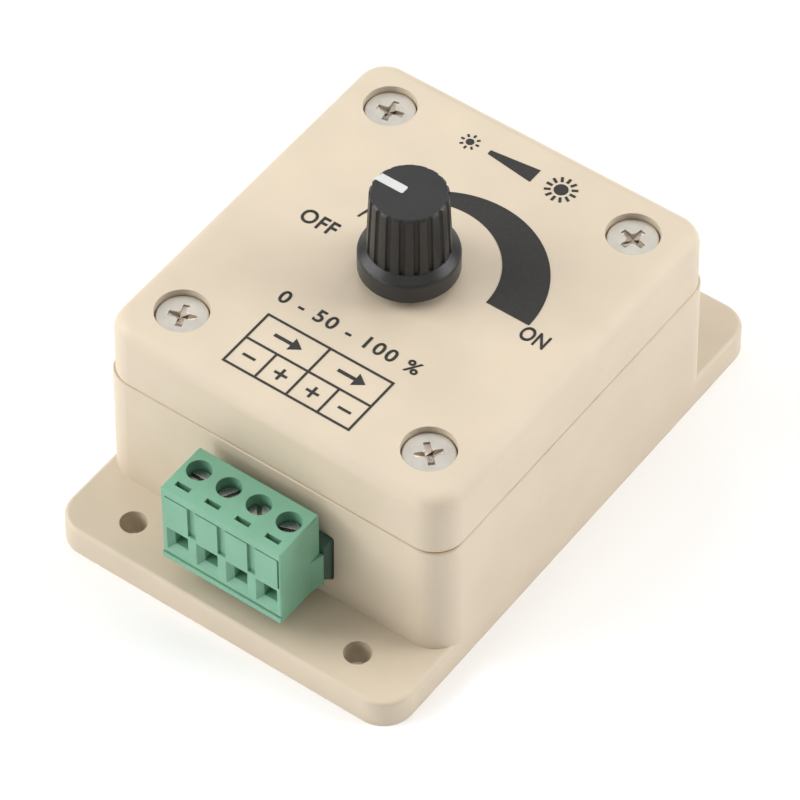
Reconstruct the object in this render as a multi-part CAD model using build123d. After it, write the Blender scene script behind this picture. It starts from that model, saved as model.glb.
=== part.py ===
from build123d import *
import math
import os

# Surface-mounted rotary dimmer for low-voltage lights, in millimetres.
# +X runs to the right along the terminal side, +Y away from the terminals, +Z up.
# The origin is at the middle of the underside, which lies on the mounting surface.

# Case
CASE_WIDTH = 59.0
BODY_LENGTH = 65.4
EAR_LENGTH = 11.8
EAR_THICKNESS = 4.7
BASE_HEIGHT = 24.65
LID_HEIGHT = 10.35
WALL = 2.2
FLOOR = 2.5
LID_TOP = 2.2
DRAFT = 1.0
BODY_CORNER = 4.7
EAR_CORNER = 4.8
LID_EDGE = 2.5
EAR_EDGE = 0.7
LID_INSET = 0.12
SEAM = 0.22
LIP_HEIGHT = 1.6
LIP_THICKNESS = 1.0
LIP_PLAY = 0.12

# Mounting ears
EAR_HOLE = 4.0
EAR_HOLE_FROM_SIDE = 10.1
EAR_HOLE_FROM_END = 6.05
EAR_SKIN = 2.4
EAR_BOSS_WALL = 2.0

# Lid screws and the posts that they go into
SCREW_INSET = 8.7
SCREW_HEAD = 7.4
SCREW_HEAD_HEIGHT = 1.9
SCREW_HEAD_EDGE = 0.2
SCREW_SHANK = 3.4
SCREW_GRIP = 20.0
SCREW_SUNK = 0.95
SCREW_CROSS = 4.2
SCREW_CROSS_WIDTH = 1.0
SCREW_CROSS_DEPTH = 1.2
SCREW_PIT = 1.2
SCREW_PIT_TIP = 0.4
SCREW_TURNS = {(-1, -1): 20.0, (1, -1): 46.5, (-1, 1): 10.0, (1, 1): -11.0}
RECESS_PLAY = 0.2
SHANK_PLAY = 0.2
PILOT_PLAY = 0.02
TUBE_WALL = 1.3
POST = 7.5
POST_DROP = 1.0
RIB = 1.2

# Circuit board
STANDOFF_HEIGHT = 4.4
STANDOFF = 5.6
BOARD_THICKNESS = 1.6
BOARD_PLAY = 0.4
BOARD_REAR_GAP = 1.6
BOARD_SCREW_INSET = 3.0
BOARD_SCREW = 2.2
BOARD_SCREW_HEAD = 4.4
BOARD_SCREW_HEAD_HEIGHT = 1.6
BOARD_SCREW_GRIP = 5.0
LEAD = 0.8
LEAD_PLAY = 0.2
LEAD_BELOW = 1.6

# Terminal header on the board
PITCH = 5.08
POLES = 4
HEADER_MARGIN = 0.6
HEADER_HEIGHT = 8.5
HEADER_DEPTH = 12.0
HEADER_WALL = 0.8
HEADER_SOCKET = 8.3
HEADER_PROUD = 1.6
HEADER_PLAY = 0.25
PIN = 1.0
PIN_TAIL = 1.4
PIN_TIP_SUNK = 1.3

# Terminal plug
PLUG_DEPTH = 8.78
PLUG_HEIGHT = 14.5
PLUG_EDGE = 0.15
PLUG_RAISE = 0.7
PLUG_PLAY = 0.12
RAMP_LENGTH = 2.2
RAMP_DROP = 1.45
TONGUE_PLAY = 0.2
TONGUE_LENGTH = 7.27
LIP_LINE = 0.95
LIP_LINE_DEPTH = 0.25
LIP_PROUD = 0.2
BROW = 1.3
BROW_GROOVE = 0.3
PANEL_STEP = 0.45
PANEL_GAP = 1.32
PANEL_SHIFT = 0.1
PANEL_END_GAP = 0.3
PANEL_FOOT = 0.6
POLE_WALL = 1.1
SCREW_FROM_SHOULDER = 3.33
WELL_WALL = 1.43
WELL_DEPTH = 3.4
CLAMP_HEAD_SUNK = 1.8
CLAMP_HEAD_PLAY = 0.1
CLAMP_LEDGE = 0.6
CLAMP_SLOT = 0.6
CLAMP_SLOT_DEPTH = 0.7
CLAMP_TURNS = [0.0, 63.0, -54.0, 21.0]
CAGE_PLAY = 0.2
CAGE_WALL = 0.6
CAGE_HEIGHT = 6.0
CAGE_FLOOR = 1.1
THREAD_PLAY = 0.08
FUNNEL_RAISE = 1.95
FUNNEL_HEIGHT = 4.6
FUNNEL_DEPTH = 0.85
FUNNEL_TAPER = 0.8
CONTACT_THICKNESS = 0.6
CONTACT_PLAY = 0.15
TOP_SLOT_LENGTH = 2.4
TOP_SLOT_WIDTH = 0.8
TOP_SLOT_DEPTH = 4.0
TOP_SLOT_FROM_FRONT = 1.85

# Potentiometer under the lid
POT_CAN = 16.8
POT_DEPTH = 8.6
POT_PLATE = 1.2
POT_WAFER = 1.4
POT_SHEET = 0.5
POT_BUSH = 7.0
POT_BUSH_LENGTH = 7.0
POT_BUSH_PLAY = 0.15
POT_SHAFT = 6.0
POT_SHAFT_LENGTH = 15.0
POT_SHAFT_PLAY = 0.05
POT_SHAFT_SLOT = 1.0
POT_SHAFT_SLOT_DEPTH = 6.0
POT_TAIL_WIDTH = 13.0
POT_TAIL_LENGTH = 4.6
POT_ROTOR = 12.0
POT_ROTOR_HEIGHT = 2.0
POT_ROTOR_GAP = 0.4
LUG_PITCH = 5.0
LUG_WIDTH = 1.8
LUG_THICKNESS = 0.5
LUG_DROP = 4.5
WASHER = 11.6
WASHER_THICKNESS = 0.5
NUT_FLATS = 10.0
NUT_HEIGHT = 2.0
WIRE = 1.3
WIRE_BOW = 1.5
WIRE_BEND_SHARE = 0.3
WIRE_ROUNDING = 0.45

# Knob
KNOB_GAP = 1.7
KNOB_HEIGHT = 14.3
KNOB_SKIRT = 14.4
KNOB_SKIRT_HEIGHT = 3.0
KNOB_LEDGE_RISE = 1.05
KNOB_GRIP_FOOT = 11.9
KNOB_GRIP_TOP = 11.0
KNOB_SKIRT_EDGE = 0.6
KNOB_TOP_EDGE = 0.35
KNOB_FLUTES = 18
KNOB_FLUTE_RADIUS = 0.42
KNOB_FLUTE_DEPTH = 0.4
KNOB_FLUTE_TURN = 16.2
KNOB_SHELL = 1.0
KNOB_HOLLOW = 3.4
KNOB_BORE_PLAY = 0.02
KNOB_ROOF = 2.7
POINTER_START = 0.65
POINTER_WIDTH = 1.45
POINTER_DEPTH = 0.4
POINTER_CORNER = 0.3

# Printing on the lid
INK = 0.08
SCALE_OUTER = 15.52
SCALE_INNER = 11.86
SCALE_CENTRE = (-0.09, 1.72)
SCALE_SHIFT = (3.46, 0.24)
SCALE_START = 4.2
SCALE_END = 1.7
TABLE_WIDTH = 21.4
TABLE_HEIGHT = 10.45
TABLE_LINE = 0.34
TABLE_FROM_FRONT = 4.85
TABLE_SHIFT = -0.35

# Parts on the board
CAP_DIAMETER = 10.0
CAP_HEIGHT = 12.5
CAP_GROOVE = 0.35
CAP_GROOVE_LEVEL = 2.1
CAP_LEAD_PITCH = 5.0
CHIP_LENGTH = 9.6
CHIP_WIDTH = 6.4
CHIP_HEIGHT = 3.3
CHIP_STAND = 0.5
CHIP_ROW_LEGS = 4
CHIP_LEG_PITCH = 2.54
CHIP_LEG_SPAN = 7.62
CHIP_LEG = 0.3
POWER_WIDTH = 10.0
POWER_BODY = 9.0
POWER_THICKNESS = 4.4
POWER_TAB = 1.3
POWER_TAB_ABOVE = 6.4
POWER_TAB_HOLE = 3.6
POWER_LEG_LENGTH = 3.2
POWER_LEG_PITCH = 2.54
POWER_FROM_REAR = 4.2
DIODE_DIAMETER = 5.2
DIODE_LENGTH = 9.2
DIODE_SPAN = 13.0
RESISTOR_DIAMETER = 2.4
RESISTOR_LENGTH = 6.3
RESISTOR_SPAN = 9.4
PART_SPACING = 3.2
RESISTOR_ROWS = 4
LYING_EDGE = 0.3
EDGE_MARGIN = 1.2

# Levels and places that follow
SLOPE = math.tan(math.radians(DRAFT))
PLATE_LENGTH = BODY_LENGTH + 2 * EAR_LENGTH
TOP = BASE_HEIGHT + LID_HEIGHT
LID_UNDER = TOP - LID_TOP
POST_TOP = BASE_HEIGHT - POST_DROP
RECESS = SCREW_HEAD + 2 * RECESS_PLAY
RECESS_FLOOR = TOP - SCREW_SUNK - SCREW_HEAD_HEIGHT
SCREW_X = CASE_WIDTH / 2 - SCREW_INSET
SCREW_Y = BODY_LENGTH / 2 - SCREW_INSET
SCREW_PLACES = [(sx * SCREW_X, sy * SCREW_Y) for sx, sy in SCREW_TURNS]
EAR_HOLE_X = CASE_WIDTH / 2 - EAR_HOLE_FROM_SIDE
EAR_HOLE_Y = PLATE_LENGTH / 2 - EAR_HOLE_FROM_END

BOARD_UNDER = FLOOR + STANDOFF_HEIGHT
BOARD_TOP = BOARD_UNDER + BOARD_THICKNESS
BOARD_HALF = SCREW_X - POST / 2 - BOARD_PLAY
BOARD_FRONT = -(BODY_LENGTH / 2 - WALL - BOARD_PLAY)
BOARD_REAR = BODY_LENGTH / 2 - WALL - BOARD_REAR_GAP

HEADER_WIDTH = POLES * PITCH + 2 * HEADER_MARGIN
HEADER_FRONT = -(BODY_LENGTH / 2 + HEADER_PROUD)
HEADER_REAR = HEADER_FRONT + HEADER_DEPTH
HEADER_TOP = BOARD_TOP + HEADER_HEIGHT
SOCKET_WIDTH = HEADER_WIDTH - 2 * HEADER_WALL
SOCKET_LOW = BOARD_TOP + HEADER_WALL
SOCKET_HIGH = HEADER_TOP - HEADER_WALL
SOCKET_END = HEADER_FRONT + HEADER_SOCKET
PIN_LEVEL = (SOCKET_LOW + SOCKET_HIGH) / 2
PIN_ROW = HEADER_REAR + PIN_TAIL
POLE_X = [(i - (POLES - 1) / 2) * PITCH for i in range(POLES)]

BOARD_SCREW_X = BOARD_HALF - BOARD_SCREW_INSET
BOARD_SCREW_FRONT = PIN_ROW + BOARD_SCREW_INSET
BOARD_SCREW_REAR = BOARD_REAR - BOARD_SCREW_INSET
BOARD_SCREWS = [(sx * BOARD_SCREW_X, y) for y in (BOARD_SCREW_FRONT, BOARD_SCREW_REAR) for sx in (-1, 1)]

SHOULDER = HEADER_FRONT - PLUG_PLAY
PLUG_FRONT = SHOULDER - PLUG_DEPTH
PLUG_WIDTH = POLES * PITCH
PLUG_LOW = BOARD_TOP + PLUG_RAISE
PLUG_TOP = PLUG_LOW + PLUG_HEIGHT
CLAMP_Y = SHOULDER - SCREW_FROM_SHOULDER
WELL = PITCH - WELL_WALL
WELL_FLOOR = PLUG_TOP - WELL_DEPTH
CLAMP_HEAD = WELL - 2 * CLAMP_HEAD_PLAY
CLAMP_HEAD_TOP = PLUG_TOP - CLAMP_HEAD_SUNK
CHAMBER = PITCH - POLE_WALL
CHAMBER_TOP = WELL_FLOOR - CLAMP_LEDGE
CHAMBER_LOW = PLUG_LOW + CAGE_FLOOR
CAGE = CHAMBER - 2 * CAGE_PLAY
CAGE_LOW = CHAMBER_LOW + CAGE_PLAY
CAGE_ROOF_LOW = CAGE_LOW + CAGE_HEIGHT - 2 * CAGE_WALL
CLAMP_SHANK = CAGE - 2 * CAGE_WALL - 2 * THREAD_PLAY
CLAMP_TIP = CAGE_ROOF_LOW
FUNNEL_LOW = PLUG_LOW + FUNNEL_RAISE
CONTACT_WIDTH = CAGE - 2 * CAGE_WALL - 2 * CONTACT_PLAY
CONTACT_TOP = CAGE_ROOF_LOW - CONTACT_PLAY
TONGUE_WIDTH = SOCKET_WIDTH - 2 * TONGUE_PLAY
TONGUE_LOW = SOCKET_LOW + TONGUE_PLAY
TONGUE_HIGH = SOCKET_HIGH - TONGUE_PLAY
TONGUE_END = SHOULDER + TONGUE_LENGTH

KNOB_LOW = TOP + KNOB_GAP
KNOB_TOP = KNOB_LOW + KNOB_HEIGHT
KNOB_LEDGE = KNOB_LOW + KNOB_SKIRT_HEIGHT + KNOB_LEDGE_RISE
SHAFT_TIP = LID_UNDER + POT_SHAFT_LENGTH
WAFER_TOP = LID_UNDER - POT_PLATE
WAFER_LOW = WAFER_TOP - POT_WAFER
POT_LOW = LID_UNDER - POT_DEPTH
ROTOR_TOP = WAFER_LOW - POT_ROTOR_GAP
LUG_Y = -(POT_CAN / 2 + POT_TAIL_LENGTH - LUG_THICKNESS / 2)
LUG_X = [-LUG_PITCH, 0.0, LUG_PITCH]
LUG_TIP = WAFER_LOW - LUG_DROP


def block(width, length, height, centre, low):
    """A plain box of the given size, centred in plan, standing on a level."""
    return Pos(*centre, low + height / 2) * Box(width, length, height)


def rod(diameter, height, centre, low):
    """An upright round bar standing on a level."""
    return Pos(*centre, low + height / 2) * Cylinder(diameter / 2, height)


def drafted(width, length, corner, height, low):
    """A block with rounded corners whose walls lean in by the moulding draft."""
    return Pos(0, 0, low) * extrude(RectangleRounded(width, length, corner), height, taper=DRAFT)


def across(size, level):
    """An outside measure of the case at a level, from its measure at the bottom."""
    return size - 2 * level * SLOPE


def top_edges(solid):
    """The edges round the highest face of a solid."""
    return solid.faces().sort_by(Axis.Z)[-1].edges()


def low_edges(solid):
    """The edges round the lowest face of a solid."""
    return solid.faces().sort_by(Axis.Z)[0].edges()


def base_cavity(height):
    """The inside of the base, from the floor up, parallel to its outer walls."""
    width = across(CASE_WIDTH, FLOOR) - 2 * WALL
    length = across(BODY_LENGTH, FLOOR) - 2 * WALL
    return drafted(width, length, BODY_CORNER - WALL, height, FLOOR)


def base_shell():
    """The lower half of the case, with ears, posts, standoffs and the header's window."""
    body = drafted(CASE_WIDTH, BODY_LENGTH, BODY_CORNER, BASE_HEIGHT, 0)
    body = chamfer(top_edges(body), SEAM)
    plate = drafted(CASE_WIDTH, PLATE_LENGTH, EAR_CORNER, EAR_THICKNESS, 0)
    plate = fillet(top_edges(plate), EAR_EDGE)
    rim_width = across(CASE_WIDTH, BASE_HEIGHT) - 2 * (WALL - LIP_THICKNESS)
    rim_length = across(BODY_LENGTH, BASE_HEIGHT) - 2 * (WALL - LIP_THICKNESS)
    lip_corner = BODY_CORNER - WALL + LIP_THICKNESS
    lip_low = BASE_HEIGHT - LIP_HEIGHT
    lip = drafted(rim_width, rim_length, lip_corner, 2 * LIP_HEIGHT, lip_low)
    shell = body + plate + lip - base_cavity(BASE_HEIGHT)

    for x, y in SCREW_PLACES:
        shell += rod(POST, POST_TOP - FLOOR, (x, y), FLOOR)
        rib_top = POST_TOP - POST_DROP
        to_side = math.copysign(SCREW_INSET - WALL / 2, x)
        to_end = math.copysign(SCREW_INSET - WALL / 2, y)
        shell += block(abs(to_side), RIB, rib_top - FLOOR, (x + to_side / 2, y), FLOOR)
        shell += block(RIB, abs(to_end), rib_top - FLOOR, (x, y + to_end / 2), FLOOR)
    for x, y in BOARD_SCREWS:
        shell += rod(STANDOFF, STANDOFF_HEIGHT, (x, y), FLOOR)

    for x, y in SCREW_PLACES:
        depth = RECESS_FLOOR - SCREW_GRIP - RIB
        shell -= rod(SCREW_SHANK + 2 * PILOT_PLAY, POST_TOP, (x, y), depth)
    for x, y in BOARD_SCREWS:
        shell -= rod(BOARD_SCREW + 2 * PILOT_PLAY, BOARD_SCREW_GRIP, (x, y), BOARD_TOP - BOARD_SCREW_GRIP)
    play = 2 * HEADER_PLAY
    window = RectangleRounded(HEADER_WIDTH + play, HEADER_HEIGHT + play, play)
    window_middle = (0, -BODY_LENGTH / 2 + 2 * WALL, BOARD_TOP + HEADER_HEIGHT / 2)
    shell -= extrude(Plane(window_middle, (1, 0, 0), (0, -1, 0)) * window, 4 * WALL)
    for sy in (-1, 1):
        shell -= ear_pocket(sy)
        for sx in (-1, 1):
            shell -= rod(EAR_HOLE, 4 * EAR_THICKNESS, (sx * EAR_HOLE_X, sy * EAR_HOLE_Y), -EAR_THICKNESS)
    return shell


def ear_pocket(sy):
    """The hollow under one ear, which leaves a skin, a rim and a boss round each hole."""
    length = EAR_LENGTH - WALL
    width = CASE_WIDTH - 2 * WALL
    y = sy * (BODY_LENGTH / 2 + length / 2)
    outline = RectangleRounded(width, length, EAR_CORNER - WALL)
    pocket = Pos(0, y, 0) * extrude(outline, EAR_THICKNESS - EAR_SKIN)
    for sx in (-1, 1):
        boss = EAR_HOLE + 2 * EAR_BOSS_WALL
        pocket -= rod(boss, EAR_THICKNESS, (sx * EAR_HOLE_X, sy * EAR_HOLE_Y), 0)
    return pocket


def lid_shell():
    """The upper half of the case, with screw tubes, screw recesses and the potentiometer's hole."""
    width = across(CASE_WIDTH, BASE_HEIGHT) - 2 * LID_INSET
    length = across(BODY_LENGTH, BASE_HEIGHT) - 2 * LID_INSET
    shell = drafted(width, length, BODY_CORNER, LID_HEIGHT, BASE_HEIGHT)
    shell = fillet(top_edges(shell), LID_EDGE)
    shell = chamfer(low_edges(shell), SEAM)
    hollow = drafted(width - 2 * WALL, length - 2 * WALL, BODY_CORNER - WALL,
                     LID_HEIGHT - LID_TOP, BASE_HEIGHT)
    rebate_wall = WALL - LIP_THICKNESS - LIP_PLAY - LID_INSET
    rebate = drafted(width - 2 * rebate_wall, length - 2 * rebate_wall, BODY_CORNER - rebate_wall,
                     LIP_HEIGHT + LIP_PLAY, BASE_HEIGHT)
    shell = shell - hollow - rebate

    tube_low = RECESS_FLOOR - TUBE_WALL
    for x, y in SCREW_PLACES:
        shell += rod(RECESS + 2 * TUBE_WALL, LID_UNDER - tube_low, (x, y), tube_low)
        shell += rod(POST, LID_UNDER - POST_TOP, (x, y), POST_TOP)
    for x, y in SCREW_PLACES:
        shell -= rod(RECESS, TOP, (x, y), RECESS_FLOOR)
        shell -= rod(SCREW_SHANK + 2 * SHANK_PLAY, TOP, (x, y), 0)
    shell -= rod(POT_BUSH + 2 * POT_BUSH_PLAY, TOP, (0, 0), LID_UNDER - LID_TOP)
    return shell


def cross_recess(length, width, depth):
    """A cross-shaped driver recess below the XY plane, with a pointed pit in its middle."""
    arms = Rectangle(length, width) + Rectangle(width, length)
    return extrude(arms, -depth) + Pos(0, 0, -depth) * Cone(SCREW_PIT_TIP / 2, SCREW_PIT / 2, width)


def lid_screws():
    """Four flat-topped cross-head screws, each stopped at its own angle."""
    screws = []
    for (sx, sy), turn in SCREW_TURNS.items():
        place = (sx * SCREW_X, sy * SCREW_Y)
        head_top = TOP - SCREW_SUNK
        head = rod(SCREW_HEAD, SCREW_HEAD_HEIGHT, place, RECESS_FLOOR)
        head = fillet(top_edges(head), SCREW_HEAD_EDGE)
        screw = head + rod(SCREW_SHANK, SCREW_GRIP, place, RECESS_FLOOR - SCREW_GRIP)
        recess = cross_recess(SCREW_CROSS, SCREW_CROSS_WIDTH, SCREW_CROSS_DEPTH)
        screws.append(screw - Pos(*place, head_top) * Rot(0, 0, turn) * recess)
    return screws


def lead_places():
    """Where round leads pass through the board."""
    places = [(x, PIN_ROW) for x in POLE_X]
    places += [(x, LUG_Y) for x in LUG_X]
    for part in (CAPACITOR, DIODE, *RESISTORS):
        places += part["leads"]
    places += [(x, POWER_Y) for x in POWER_LEGS]
    return places + CHIP_LEGS


def circuit_board():
    """The board, drilled for its screws and for every lead."""
    length = BOARD_REAR - BOARD_FRONT
    board = block(2 * BOARD_HALF, length, BOARD_THICKNESS, (0, (BOARD_REAR + BOARD_FRONT) / 2), BOARD_UNDER)
    drill_length = 2 * BOARD_THICKNESS
    drill_low = BOARD_UNDER - BOARD_THICKNESS / 2
    for place in BOARD_SCREWS:
        board -= rod(BOARD_SCREW + 2 * SHANK_PLAY, drill_length, place, drill_low)
    for place in lead_places():
        board -= rod(PIN * math.sqrt(2) + 2 * LEAD_PLAY, drill_length, place, drill_low)
    return board


def board_screws():
    """Four small pan-head screws that hold the board on its standoffs."""
    screws = []
    for place in BOARD_SCREWS:
        head = rod(BOARD_SCREW_HEAD, BOARD_SCREW_HEAD_HEIGHT, place, BOARD_TOP)
        head = fillet(top_edges(head), BOARD_SCREW_HEAD_HEIGHT / 2)
        grip = BOARD_SCREW_GRIP - PILOT_PLAY
        screws.append(head + rod(BOARD_SCREW, grip, place, BOARD_TOP - grip))
    return screws


def terminal_header():
    """The shrouded header that stands in the case window and takes the plug."""
    middle = (HEADER_FRONT + HEADER_REAR) / 2
    header = block(HEADER_WIDTH, HEADER_DEPTH, HEADER_HEIGHT, (0, middle), BOARD_TOP)
    header = chamfer(low_edges(header).sort_by(Axis.Y)[0], HEADER_PROUD)
    socket_middle = (HEADER_FRONT + SOCKET_END) / 2
    header -= block(SOCKET_WIDTH, HEADER_SOCKET, SOCKET_HIGH - SOCKET_LOW, (0, socket_middle), SOCKET_LOW)
    for x in POLE_X:
        bore = PIN + 2 * PILOT_PLAY
        header -= block(bore, HEADER_DEPTH, bore, (x, HEADER_REAR), PIN_LEVEL - bore / 2)
    return header


def header_pins():
    """Four square pins, bent down behind the header into the board."""
    pins = []
    tip = HEADER_FRONT + PIN_TIP_SUNK
    bend = PIN_ROW + PIN / 2
    foot = BOARD_UNDER - LEAD_BELOW
    for x in POLE_X:
        run = block(PIN, bend - tip, PIN, (x, (bend + tip) / 2), PIN_LEVEL - PIN / 2)
        pins.append(run + block(PIN, PIN, PIN_LEVEL - foot, (x, PIN_ROW), foot))
    return pins


def plug_housing():
    """The plug: wells on top, wire funnels in front, side ramps, and a tongue that enters the header."""
    middle = (SHOULDER + PLUG_FRONT) / 2
    plug = block(PLUG_WIDTH, PLUG_DEPTH, PLUG_HEIGHT, (0, middle), PLUG_LOW)
    plug = chamfer(plug.edges().filter_by(Axis.Z) + top_edges(plug), PLUG_EDGE)
    plug += block(PLUG_WIDTH, 2 * LIP_PROUD, LIP_LINE, (0, PLUG_FRONT), PLUG_LOW)
    tongue_start = SHOULDER - POLE_WALL
    tongue_length = TONGUE_END - tongue_start
    plug += block(TONGUE_WIDTH, tongue_length, TONGUE_HIGH - TONGUE_LOW,
                  (0, (TONGUE_END + tongue_start) / 2), TONGUE_LOW)
    for sx in (-1, 1):
        root = sx * (PLUG_WIDTH / 2 - POLE_WALL)
        flush = sx * PLUG_WIDTH / 2
        proud = sx * HEADER_WIDTH / 2
        outline = Polyline((root, SHOULDER - RAMP_LENGTH), (flush, SHOULDER - RAMP_LENGTH), (proud, SHOULDER),
                           (root, SHOULDER), close=True)
        ramp_height = HEADER_TOP - RAMP_DROP - PLUG_LOW
        plug += Pos(0, 0, PLUG_LOW) * extrude(make_face(outline), ramp_height, dir=(0, 0, 1))
    line_low = PLUG_LOW + LIP_LINE
    plug -= block(PLUG_WIDTH + PITCH, 2 * LIP_LINE_DEPTH, LIP_LINE_DEPTH, (0, PLUG_FRONT), line_low)
    for x in POLE_X:
        plug -= clamp_cuts(x)
        plug -= contact_cuts(x)
        plug -= front_cuts(x, PANEL_END_GAP if x == POLE_X[-1] else PANEL_GAP)
    return plug


def clamp_cuts(x):
    """The well, the screw's way down and the cage's chamber of one pole."""
    cuts = rod(WELL, PLUG_TOP, (x, CLAMP_Y), WELL_FLOOR)
    cuts += rod(CLAMP_SHANK + 2 * CLAMP_HEAD_PLAY, PLUG_TOP - CHAMBER_LOW, (x, CLAMP_Y), CHAMBER_LOW)
    cuts += block(CHAMBER, CHAMBER, CHAMBER_TOP - CHAMBER_LOW, (x, CLAMP_Y), CHAMBER_LOW)
    slot_y = PLUG_FRONT + TOP_SLOT_FROM_FRONT
    slot_low = PLUG_TOP - TOP_SLOT_DEPTH
    return cuts + block(TOP_SLOT_LENGTH, TOP_SLOT_WIDTH, 2 * TOP_SLOT_DEPTH, (x, slot_y), slot_low)


def front_cuts(x, gap):
    """The wire funnel of one pole, and the grooves that leave its panel standing."""
    middle = x + PANEL_SHIFT
    panel_width = PITCH - PANEL_GAP
    hole_width = panel_width - 2 * FUNNEL_TAPER
    hole_height = FUNNEL_HEIGHT - 2 * FUNNEL_TAPER
    reach = CLAMP_Y - PLUG_FRONT
    cuts = block(hole_width, reach, hole_height, (middle, PLUG_FRONT + reach / 2), FUNNEL_LOW + FUNNEL_TAPER)
    level = FUNNEL_LOW + FUNNEL_HEIGHT / 2
    mouth_plane = Plane((middle, PLUG_FRONT, level), (1, 0, 0), (0, -1, 0))
    throat_plane = Plane((middle, PLUG_FRONT + FUNNEL_DEPTH, level), (1, 0, 0), (0, -1, 0))
    mouth = mouth_plane * Rectangle(panel_width, FUNNEL_HEIGHT)
    throat = throat_plane * Rectangle(hole_width, hole_height)
    cuts += loft([throat, mouth])

    panel_high = PLUG_TOP - BROW
    gap_low = FUNNEL_LOW + FUNNEL_HEIGHT + PANEL_FOOT
    gap_middle = middle + panel_width / 2 + gap / 2
    cuts += block(gap, 2 * PANEL_STEP, panel_high - gap_low, (gap_middle, PLUG_FRONT), gap_low)
    groove_low = panel_high - BROW_GROOVE
    return cuts + block(panel_width, 2 * PANEL_STEP, BROW_GROOVE, (middle, PLUG_FRONT), groove_low)


def contact_cuts(x):
    """The way for one contact, from the cage's chamber to the end of the tongue."""
    strip = CONTACT_THICKNESS + 2 * CONTACT_PLAY
    width = CONTACT_WIDTH + 2 * CONTACT_PLAY
    reach = PIN / 2 + CONTACT_THICKNESS + 2 * CONTACT_PLAY
    roof = CONTACT_TOP + CONTACT_PLAY
    cuts = block(width, SHOULDER - CLAMP_Y, strip, (x, (SHOULDER + CLAMP_Y) / 2), roof - strip)
    web_low = min(PIN_LEVEL - reach, roof - strip)
    web_high = max(PIN_LEVEL + reach, roof)
    cuts += block(CONTACT_WIDTH, strip, web_high - web_low, (x, SHOULDER - strip / 2), web_low)
    length = TONGUE_LENGTH + strip
    return cuts + block(width, length, 2 * reach, (x, SHOULDER - strip + length / 2), PIN_LEVEL - reach)


def plug_contacts():
    """Four contacts: a strip through the cage, and a spring fork that grips the pin."""
    contacts = []
    strip = CONTACT_THICKNESS
    rear = SHOULDER - CONTACT_PLAY
    fork_end = TONGUE_END - CONTACT_PLAY
    strip_front = CLAMP_Y - CAGE / 2
    high = PIN_LEVEL + PIN / 2 + CONTACT_PLAY / 2
    low = PIN_LEVEL - PIN / 2 - CONTACT_PLAY / 2 - strip
    web_low = min(low, CONTACT_TOP - strip)
    web_height = max(CONTACT_TOP, high + strip) - web_low
    fork_length = fork_end - rear + strip
    for x in POLE_X:
        blade_middle = (x, (rear + strip_front) / 2)
        contact = block(CONTACT_WIDTH, rear - strip_front, strip, blade_middle, CONTACT_TOP - strip)
        contact += block(CONTACT_WIDTH, strip, web_height, (x, rear - strip / 2), web_low)
        for level in (low, high):
            contact += block(CONTACT_WIDTH, fork_length, strip, (x, fork_end - fork_length / 2), level)
        contacts.append(contact)
    return contacts


def clamp_screw(x, turn):
    """One slotted terminal screw, captive in its well, its slot stopped at an angle."""
    place = (x, CLAMP_Y)
    head = rod(CLAMP_HEAD, CLAMP_HEAD_TOP - WELL_FLOOR - CLAMP_HEAD_PLAY, place, WELL_FLOOR + CLAMP_HEAD_PLAY)
    head = fillet(top_edges(head), CLAMP_HEAD_PLAY * 2)
    screw = head + rod(CLAMP_SHANK, WELL_FLOOR + CLAMP_HEAD_PLAY - CLAMP_TIP, place, CLAMP_TIP)
    slot = block(2 * CLAMP_HEAD, CLAMP_SLOT, 2 * CLAMP_SLOT_DEPTH, (0, 0), CLAMP_HEAD_TOP - CLAMP_SLOT_DEPTH)
    return screw - Pos(*place) * Rot(0, 0, turn) * slot


def clamp_cage(x):
    """One rising cage: the screw turns in its roof, and its floor lifts the wire to the strip."""
    place = (x, CLAMP_Y)
    cage = block(CAGE, CAGE, CAGE_HEIGHT, place, CAGE_LOW)
    window_low = CAGE_LOW + CAGE_WALL
    cage -= block(CAGE - 2 * CAGE_WALL, 2 * CAGE, CAGE_ROOF_LOW - window_low, place, window_low)
    return cage - rod(CLAMP_SHANK + 2 * THREAD_PLAY, CAGE_HEIGHT, place, CAGE_ROOF_LOW)


def pot_bushing():
    """The threaded bushing with its front plate, hung under the lid."""
    bushing = rod(POT_CAN, POT_PLATE, (0, 0), WAFER_TOP)
    bushing += rod(POT_BUSH, POT_BUSH_LENGTH, (0, 0), LID_UNDER)
    return bushing - rod(POT_SHAFT + 2 * POT_SHAFT_PLAY, TOP, (0, 0), POT_LOW)


def pot_wafer():
    """The resistance wafer, with the tail that carries the lugs."""
    wafer = rod(POT_CAN, POT_WAFER, (0, 0), WAFER_LOW)
    tail_length = POT_CAN / 2 + POT_TAIL_LENGTH - LUG_THICKNESS
    wafer += block(POT_TAIL_WIDTH, tail_length, POT_WAFER, (0, -tail_length / 2), WAFER_LOW)
    return wafer - rod(POT_SHAFT + 2 * POT_BUSH_PLAY, TOP, (0, 0), POT_LOW)


def pot_lugs():
    """Three lugs that hang from the end of the tail."""
    height = WAFER_TOP - LUG_TIP
    return [block(LUG_WIDTH, LUG_THICKNESS, height, (x, LUG_Y), LUG_TIP) for x in LUG_X]


def pot_can():
    """The pressed cup that closes the potentiometer from below."""
    can = rod(POT_CAN, WAFER_LOW - POT_LOW, (0, 0), POT_LOW)
    can = fillet(low_edges(can), POT_SHEET)
    return can - rod(POT_CAN - 2 * POT_SHEET, WAFER_LOW - POT_LOW, (0, 0), POT_LOW + POT_SHEET)


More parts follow.
